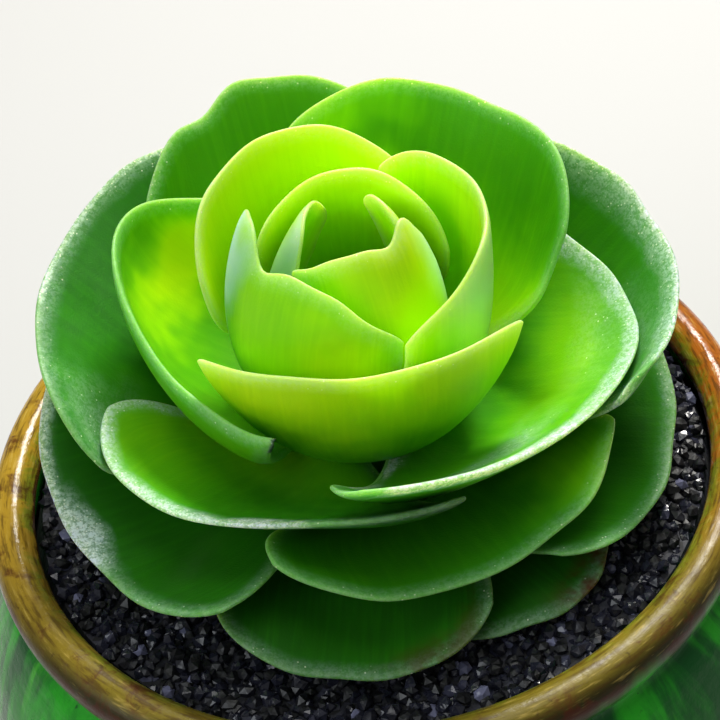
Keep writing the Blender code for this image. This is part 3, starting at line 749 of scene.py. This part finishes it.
def leaf_material(name, foot, tip, turn=0.55, painted_side_light=0.0, painted_light=(), bloom_and_sheen=(), rime_sheen=(), wax_sheen_spots=(), brown=()):
    """Translucent, waxy leaf flesh with a pale margin, and with the marks that LOOKS gives, painted light,
    shade, sheen and glints among them.
    """
    material, tree, shader = new_material(name)
    position = object_position(tree)
    places = kept_places(tree)
    under = add_node(tree, "ShaderNodeAttribute", attribute_name="under").outputs["Fac"]
    edge = parts_of(tree, places)[2]
    veins = noise(tree, scaled(tree, places, 9.0, 0.9, 0.0), 3.2, 2, 0.55, 0.3)
    mottle = noise(tree, position, 150, 2, 0.55)
    wander = spread(tree, mottle, 0.3, 0.7, -0.18, 0.18)

    # Flesh tone, with its painted light and shade
    colour = flesh_colour(tree, flesh_tone(tree, places, wander, veins, foot, tip, turn, painted_side_light, painted_light))
    # Blue-green waxy coat on the lower face, with a painted reflection of the sky in it
    for *oval, strength in bloom_and_sheen:
        bloom_sheen_share = product(tree, under, patch(tree, places, wander, *oval), strength)
        colour = blend(tree, bloom_sheen_share, colour, rgb(*BLOOM_AND_SHEEN))
    pale = product(tree, spread(tree, edge, 0.65, 0.0), spread(tree, mottle, 0.3, 0.7, 0.6, 1.0))
    colour = blend(tree, product(tree, pale, 0.06 + 0.45 * tip), colour, rgb(*PALE_MARGIN))
    # White waxy grains and bands, painted with sheen and glints where light strikes them
    colour = with_wax_sheen(tree, colour, position, wax_sheen_cover(tree, places, wander, rime_sheen, wax_sheen_spots))
    colour = browned(tree, colour, places, position, brown)
    tree.links.new(colour, shader.inputs["Base Color"])

    for key, value in FLESH.items():
        shader.inputs[key].default_value = value
    tree.links.new(spread(tree, mottle, 0.3, 0.75, 0.30, 0.48), shader.inputs["Roughness"])
    soft = bump(tree, noise(tree, position, 260, 1, 0.55), 0.10 * MM, 0.5)
    ribbed = bump(tree, veins, 0.04 * MM, 0.3, soft)
    skin = bump(tree, noise(tree, position, 5000, 0), 0.02 * MM, 0.7, ribbed)
    tree.links.new(skin, shader.inputs["Normal"])
    return material


def build_leaves(grown):
    """Every leaf as its own piece, in flesh of its own age, with its painted light and shade."""
    for slot, (name, (points, thickness)) in zip(LEAF_SLOTS, grown.items()):
        material = leaf_material("flesh_" + name[-2:], **LOOKS[name])
        add_piece("fleshy_" + name, leaf_mesh(name, points, thickness), material, slot, name)


def arc(centre_radius, centre_height, radius, start, end, count):
    """Points on a round profile corner, from one angle to another."""
    angles = np.radians(np.linspace(start, end, count))
    return [(centre_radius + radius * math.cos(a), centre_height + radius * math.sin(a)) for a in angles]


def pot_outside(height):
    """Outer radius of the pot's body: a round belly, wider than the rim, that narrows to the foot."""
    return BELLY_RADIUS * math.sqrt(1 - ((height - BELLY_HEIGHT) / BELLY_RISE) ** 2)


def pot_inside(height):
    return pot_outside(height) - WALL


def build_pot():
    """The pot's whole skin, from the rim's inner side over the outside and the foot to the inside."""
    roll = (RIM_RADIUS - RIM_INNER_RADIUS) / 2
    rim = arc(RIM_INNER_RADIUS + roll, POT_HEIGHT - roll, roll, 180, 0, RIM_POINTS)
    body_heights = np.linspace(BODY_TOP, BODY_BOTTOM, POT_BODY_RINGS)
    body = [(pot_outside(height), height) for height in body_heights]
    foot = [(FOOT_RADIUS, FOOT_BEVEL), (FOOT_RADIUS - FOOT_BEVEL, 0), (FOOT_INNER_RADIUS, 0),
            (FOOT_INNER_RADIUS - FOOT_BEVEL, FOOT_RECESS), (DRAIN_RADIUS, FOOT_RECESS)]
    corner = pot_inside(FLOOR_CORNER_HEIGHT)
    inner = [(DRAIN_RADIUS, FLOOR_TOP), (corner - FLOOR_CHAMFER, FLOOR_TOP)]
    wall_heights = np.linspace(FLOOR_CORNER_HEIGHT, WALL_TOP, POT_WALL_RINGS)
    inner += [(pot_inside(height), height) for height in wall_heights]
    mesh = turned_mesh("glazed_pot", rim + UNDER_RIM + body + foot + inner, POT_STEPS)
    add_piece("glazed_pot", mesh, glaze_material(), "glaze", "pot")


def rim_glaze(tree, places, front, drift, blots, grain, specks):
    """Amber-brown, with painted shade that makes it darker and more olive to the front and darkest
    on the outer side there, greenish on the inner side, with brown blots, a fine lengthwise grain,
    dark specks and rusty edges."""
    round_x, _, along = parts_of(tree, places)
    side = spread(tree, maths(tree, "MULTIPLY_ADD", round_x, 0.25, drift), 0.3, 0.75)
    amber = blend(tree, side, rgb(150, 120, 32), rgb(150, 84, 18))
    # Painted shade: darker and more olive to the front
    amber = blend(tree, front, amber, rgb(112, 98, 26))
    # Painted shade: darkest on the outer side at the front
    low = product(tree, front, spread(tree, along, 3.8, 6.0))
    amber = blend(tree, low, amber, rgb(42, 37, 8))
    inner = product(tree, spread(tree, along, 3.2, 1.4), spread(tree, blots, 0.4, 0.56))
    amber = blend(tree, inner, amber, rgb(104, 116, 24))
    amber = blend(tree, spread(tree, blots, 0.52, 0.68, 0, 0.7), amber, rgb(84, 46, 12))
    amber = blend(tree, spread(tree, grain, 0.48, 0.66, 0, 0.65), amber, rgb(62, 40, 10))
    amber = blend(tree, spread(tree, grain, 0.45, 0.28, 0, 0.4), amber, rgb(190, 164, 84))
    amber = blend(tree, spread(tree, specks, 0.6, 0.72, 0, 0.5), amber, rgb(44, 22, 8))
    edges = maths(tree, "MAXIMUM", spread(tree, along, 5.4, 7.2), spread(tree, along, 1.2, 0.2))
    rusty = spread(tree, maths(tree, "MULTIPLY_ADD", edges, 0.28, blots), 0.58, 0.74, 0, 0.85)
    return blend(tree, rusty, amber, rgb(66, 26, 8))


def body_glaze(tree, places, specks):
    """Green that has run down in dark and light streaks, with dark specks."""
    runs = noise(tree, scaled(tree, places, 7.5, 7.5, 0.045), 1.0, 5, 0.6, 0.5)
    green = blend(tree, spread(tree, runs, 0.36, 0.6), rgb(10, 82, 28), rgb(40, 164, 30))
    thin = noise(tree, scaled(tree, places, 16, 16, 0.06), 1.0, 3, 0.6)
    green = blend(tree, spread(tree, thin, 0.58, 0.75, 0, 0.7), green, rgb(84, 184, 48))
    return blend(tree, spread(tree, specks, 0.66, 0.74, 0, 0.6), green, rgb(6, 24, 14))


def glaze_material():
    """Amber glaze on the rim that runs, along a wandering line below it, into green on the body,
    with bare clay on the foot ring."""
    material, tree, shader = new_material("glaze")
    position = object_position(tree)
    height = parts_of(tree, position)[2]
    places = kept_places(tree)
    _, round_y, along = parts_of(tree, places)
    # The front of the rim, where shade is painted on the rim and the glaze is rougher
    front = spread(tree, round_y, -0.05, -0.75)
    drift = noise(tree, scaled(tree, places, 2.2, 2.2, 0.16), 1.0, 4, 0.6, 0.4)
    blots = noise(tree, scaled(tree, places, 11.0, 11.0, 0.28), 1.0, 5, 0.65, 0.5)
    grain = noise(tree, scaled(tree, places, 10.0, 10.0, 2.0), 1.0, 3, 0.6)
    specks = noise(tree, position, 900, 3, 0.65)

    amber = rim_glaze(tree, places, front, drift, blots, grain, specks)
    green = body_glaze(tree, places, specks)
    wander = noise(tree, scaled(tree, places, 4.5, 4.5, 0.0), 1.0, 3, 0.6)
    line = maths(tree, "MULTIPLY_ADD", wander, 6.0, along)
    colour = blend(tree, spread(tree, line, 9.6, 12.4), amber, green)
    clay = blend(tree, spread(tree, specks, 0.4, 0.65), rgb(150, 92, 58), rgb(184, 128, 88))
    bare = maths(tree, "MULTIPLY_ADD", drift, 2 * MM, height)
    bare = spread(tree, bare, 3.4 * MM, 2.6 * MM)
    colour = blend(tree, bare, colour, clay)
    tree.links.new(colour, shader.inputs["Base Color"])

    glossy = maths(tree, "MULTIPLY_ADD", front, 0.18, spread(tree, blots, 0.3, 0.7, 0.13, 0.26))
    rough = blend(tree, bare, glossy, (0.75, 0.75, 0.75, 1))
    tree.links.new(rough, shader.inputs["Roughness"])
    shader.inputs["Specular IOR Level"].default_value = 0.2
    waves = noise(tree, scaled(tree, places, 3.0, 3.0, 0.22), 1.0, 3, 0.5)
    waves = bump(tree, waves, 0.5 * MM, 0.5)
    blisters = bump(tree, blots, 0.2 * MM, 0.5, waves)
    grooves = bump(tree, grain, 0.05 * MM, 0.5, blisters)
    pits = bump(tree, specks, 0.06 * MM, 0.5, grooves)
    tree.links.new(pits, shader.inputs["Normal"])
    return material


def grit_height(x, y):
    """The uneven top of the grit at a point: two crossing waves of unlike lengths."""
    short_wave = math.sin(1.3 * x / GRIT_WAVE + 0.7) * math.cos(0.9 * y / GRIT_WAVE - 0.4)
    long_wave = math.sin(0.55 * (x + y) / GRIT_WAVE + 1.9)
    return GRIT_TOP + GRIT_BUMP * (short_wave + long_wave) / 2


def grain_template():
    """A round starting shape for a grain: corners on a unit ball, and its faces."""
    bm = bmesh.new()
    bmesh.ops.create_icosphere(bm, subdivisions=1, radius=1)
    corners = np.array([vertex.co for vertex in bm.verts])
    faces = np.array([[vertex.index for vertex in face.verts] for face in bm.faces])
    bm.free()
    return corners, faces


def turn_matrix(random):
    """A rotation that is as likely one way as another."""
    q = random.normal(size=4)
    w, x, y, z = q / np.linalg.norm(q)
    return np.array([[1 - 2 * (y * y + z * z), 2 * (x * y - z * w), 2 * (x * z + y * w)],
                     [2 * (x * y + z * w), 1 - 2 * (x * x + z * z), 2 * (y * z - x * w)],
                     [2 * (x * z - y * w), 2 * (y * z + x * w), 1 - 2 * (x * x + y * y)]])


def grain_places(random):
    """Jittered rows of grain centres over the grit, in a close layer and a loose one on it."""
    places = []
    for spacing, lift in GRAIN_LAYERS:
        row_spacing = GRAIN_ROW_SHARE * spacing
        columns = int(GRAIN_REACH / spacing) + 1
        rows = int(GRAIN_REACH / row_spacing) + 1
        for i in range(-columns, columns + 1):
            for j in range(-rows, rows + 1):
                jitter = random.uniform(-GRAIN_JITTER, GRAIN_JITTER, 2) * spacing
                x, y = ((i + j % 2 / 2) * spacing, j * row_spacing) + jitter
                if math.hypot(x, y) < GRAIN_REACH:
                    z = grit_height(x, y) + lift + random.uniform(*GRAIN_SCATTER)
                    places.append((x, y, z))
    return places


def leaves_tree(grown):
    """All the leaves' middle surfaces, to measure distances from them."""
    corners = []
    faces = []
    for points, thickness in grown.values():
        cell = len(corners) + np.arange(thickness.size).reshape(thickness.shape)
        corners += [tuple(point) for point in points.reshape(-1, 3)]
        faces += grid_faces(cell).tolist()
    return BVHTree.FromPolygons(corners, faces)


def build_grains(grown):
    """Loose grains over the grit's top, clear of the leaves and the stem."""
    random = np.random.default_rng(GRAIN_SEED)
    shape, shape_faces = grain_template()
    tree = leaves_tree(grown)
    grains = []
    faces = []
    tones = []
    for x, y, z in grain_places(random):
        size = random.uniform(*GRAIN_SIZES)
        stretch = random.uniform(*GRAIN_STRETCH, 3)
        rough = shape * random.uniform(*GRAIN_ROUGHNESS, (len(shape), 1)) * stretch * size
        rough = rough @ turn_matrix(random).T
        tone = random.random()
        place, _, _, distance = tree.find_nearest(Vector((x, y, z)), CLEARANCE_REACH)
        if place is not None and distance < size + GRAIN_CLEARANCE:
            continue
        if math.hypot(x, y - CROWN_PLACE.y) < STEM_RADIUS + size:
            continue
        faces.append(shape_faces + len(grains) * len(shape))
        grains.append(rough + (x, y, z))
        tones.append(np.full((len(shape), 3), tone))
    mesh = mesh_from("grit_grains", np.concatenate(grains), np.concatenate(faces), np.concatenate(tones))
    mesh.shade_flat()
    add_piece("grit_grains", mesh, grit_material("grains", 0.0), "grit")
    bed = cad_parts["grit"]
    bed.data.materials.clear()
    bed.data.materials.append(grit_material("grit_bed", 1.0))


def grit_material(name, bed):
    """Near-black crushed stone with a bluish cast and small painted glints; bed is 1 for the fill below
    the loose grains, which is rougher and darker, and 0 for the grains."""
    material, tree, shader = new_material(name)
    position = object_position(tree)
    if bed:
        tone = first_channel(tree, cells(tree, position, 800)["Color"])
    else:
        tone = parts_of(tree, kept_places(tree))[0]
    colour = blend(tree, spread(tree, tone, 0.2, 0.8), rgb(10, 10, 13), rgb(32, 33, 44))
    # Painted glints: a few grains coloured pale, as if catching the light
    painted_glints = spread(tree, tone, 0.9, 0.97, 0, 0.8 - 0.7 * bed)
    colour = blend(tree, painted_glints, colour, rgb(120, 122, 150))
    dust = noise(tree, position, 1400, 3, 0.7)
    colour = blend(tree, spread(tree, dust, 0.5, 0.75, 0, 0.3), colour, rgb(54, 56, 70))
    tree.links.new(colour, shader.inputs["Base Color"])
    rough = spread(tree, tone, 0.0, 1.0, 0.5 + 0.3 * bed, 0.12 + 0.5 * bed)
    tree.links.new(rough, shader.inputs["Roughness"])
    chips = cells(tree, position, 1500)["Distance"]
    tree.links.new(bump(tree, chips, 0.12 * MM, 0.6), shader.inputs["Normal"])
    return material


def build_stem():
    """The woody stem, ringed by the scars of leaves that it has shed."""
    side = []
    for height in np.linspace(STEM_TOP - STEM_BEVEL, 0, STEM_RINGS):
        scar = SCAR_DEPTH * math.sin(height / SCAR_SPACING)
        side.append((stem_radius(height) - BARK_INSET + scar, height))
    top = [(STEM_HOLE, STEM_TOP), (STEM_TOP_RADIUS - STEM_BEVEL, STEM_TOP)]
    root = [(ROOT_RADIUS, STEM_BEVEL - ROOT_DEPTH), (ROOT_RADIUS - STEM_BEVEL, -ROOT_DEPTH),
            (STEM_HOLE, -ROOT_DEPTH)]
    mesh = turned_mesh("woody_stem", top + side + root, STEM_STEPS, closed=False)
    fill_ends(mesh, STEM_STEPS)
    mesh.transform(CROWN)
    add_piece("woody_stem", mesh, stem_material(), "stem", "stem")


def stem_material():
    material, tree, shader = new_material("woody_stem")
    position = object_position(tree)
    bark = noise(tree, position, 700, 5, 0.65)
    colour = blend(tree, spread(tree, bark, 0.35, 0.65), rgb(92, 84, 44), rgb(150, 142, 84))
    scars = add_node(tree, "ShaderNodeTexWave", {"Vector": position, "Scale": 260, "Distortion": 3.0,
                                                 "Detail": 2.0}, bands_direction="Z").outputs["Fac"]
    colour = blend(tree, spread(tree, scars, 0.75, 0.95, 0, 0.7), colour, rgb(60, 46, 26))
    tree.links.new(colour, shader.inputs["Base Color"])
    shader.inputs["Roughness"].default_value = 0.75
    tree.links.new(bump(tree, bark, 0.25 * MM, 0.7), shader.inputs["Normal"])
    return material


def build_heart():
    """The bud: tiny leaves that still wrap each other, with a step where each edge lies."""
    low = STEM_TOP + TOUCH_GAP
    shares = (1 - np.cos(math.pi * np.arange(1, HEART_RINGS) / HEART_RINGS)) / 2
    share, turn = np.meshgrid(shares, np.arange(HEART_STEPS) / HEART_STEPS, indexing="ij")
    fold = (HEART_FOLDS * turn + FOLD_TWIST * share) % 1
    step = 1 - FOLD_DEPTH * np.clip(fold / FOLD_EDGE, 0, 1)
    step += FOLD_DEPTH * np.clip((fold - FOLD_EDGE) / (1 - FOLD_EDGE), 0, 1)
    swell = HEART_RADIUS * step * (1.1 - 0.35 * share)
    ring = 2 * np.sqrt(share * (1 - share)) * swell
    angle = 2 * math.pi * turn
    height = low + (HEART_TOP - low) * share
    corners = np.stack([ring * np.cos(angle), ring * np.sin(angle), height], axis=-1)
    marks = np.stack([2 * fold - 1, share, 4 * np.minimum(fold, 1 - fold)], axis=-1)
    faces = ring_faces(np.arange(share.size).reshape(share.shape))
    mesh = mesh_from("heart_bud", corners.reshape(-1, 3), faces, marks.reshape(-1, 3))
    fill_ends(mesh, HEART_STEPS)
    mesh.transform(CROWN)
    # Its flesh is toned darker as painted shade in the hollow it sits in
    add_piece("heart_bud", mesh, leaf_material("flesh_heart", foot=0.5, tip=0.7), "heart", "heart")


def aimed(place, target, roll=0.0):
    """Where something at a place that looks at a target stands, turned by roll about its view."""
    ahead = (Vector(target) - Vector(place)).normalized()
    level = ahead.cross(Vector((0, 0, 1))).normalized()
    above = level.cross(ahead)
    right = math.cos(roll) * level + math.sin(roll) * above
    top = math.cos(roll) * above - math.sin(roll) * level
    turn = Matrix((right, top, -ahead)).transposed().to_4x4()
    return Matrix.Translation(Vector(place)) @ turn


def add_light(name, place, size, watts, colour):
    """A soft, square light that shines at the plant."""
    data = bpy.data.lights.new(name, "AREA")
    data.size = size
    data.energy = watts
    data.color = colour
    light = bpy.data.objects.new(name, data)
    bpy.context.scene.collection.objects.link(light)
    light.matrix_world = aimed(place, LIGHT_TARGET)


def build_stage():
    """A pale floor under a pale sky, and the lights."""
    mesh = bpy.data.meshes.new("floor")
    bm = bmesh.new()
    bmesh.ops.create_grid(bm, x_segments=1, y_segments=1, size=FLOOR_SIZE)
    bm.to_mesh(mesh)
    bm.free()
    material, _, shader = new_material("pale_floor")
    shader.inputs["Base Color"].default_value = FLOOR_COLOUR
    shader.inputs["Roughness"].default_value = 0.85
    mesh.materials.append(material)
    floor = bpy.data.objects.new("floor", mesh)
    bpy.context.scene.collection.objects.link(floor)
    world = bpy.data.worlds.new("studio")
    world.use_nodes = True
    sky = world.node_tree.nodes["Background"]
    sky.inputs["Color"].default_value = SKY_COLOUR
    sky.inputs["Strength"].default_value = SKY_STRENGTH
    bpy.context.scene.world = world
    for name, settings in LIGHTS.items():
        add_light(name, *settings)


def build_camera():
    data = bpy.data.cameras.new("camera")
    data.lens = CAMERA_LENS
    data.sensor_width = CAMERA_SENSOR
    data.clip_start = CAMERA_NEAR
    camera = bpy.data.objects.new("camera", data)
    bpy.context.scene.collection.objects.link(camera)
    camera.matrix_world = aimed(CAMERA_PLACE, CAMERA_TARGET, CAMERA_ROLL)
    bpy.context.scene.camera = camera


def main():
    bpy.context.scene.view_settings.view_transform = "Standard"
    build_camera()
    build_stage()
    grown = grown_leaves()
    build_leaves(grown)
    build_heart()
    build_stem()
    build_pot()
    build_grains(grown)


main()
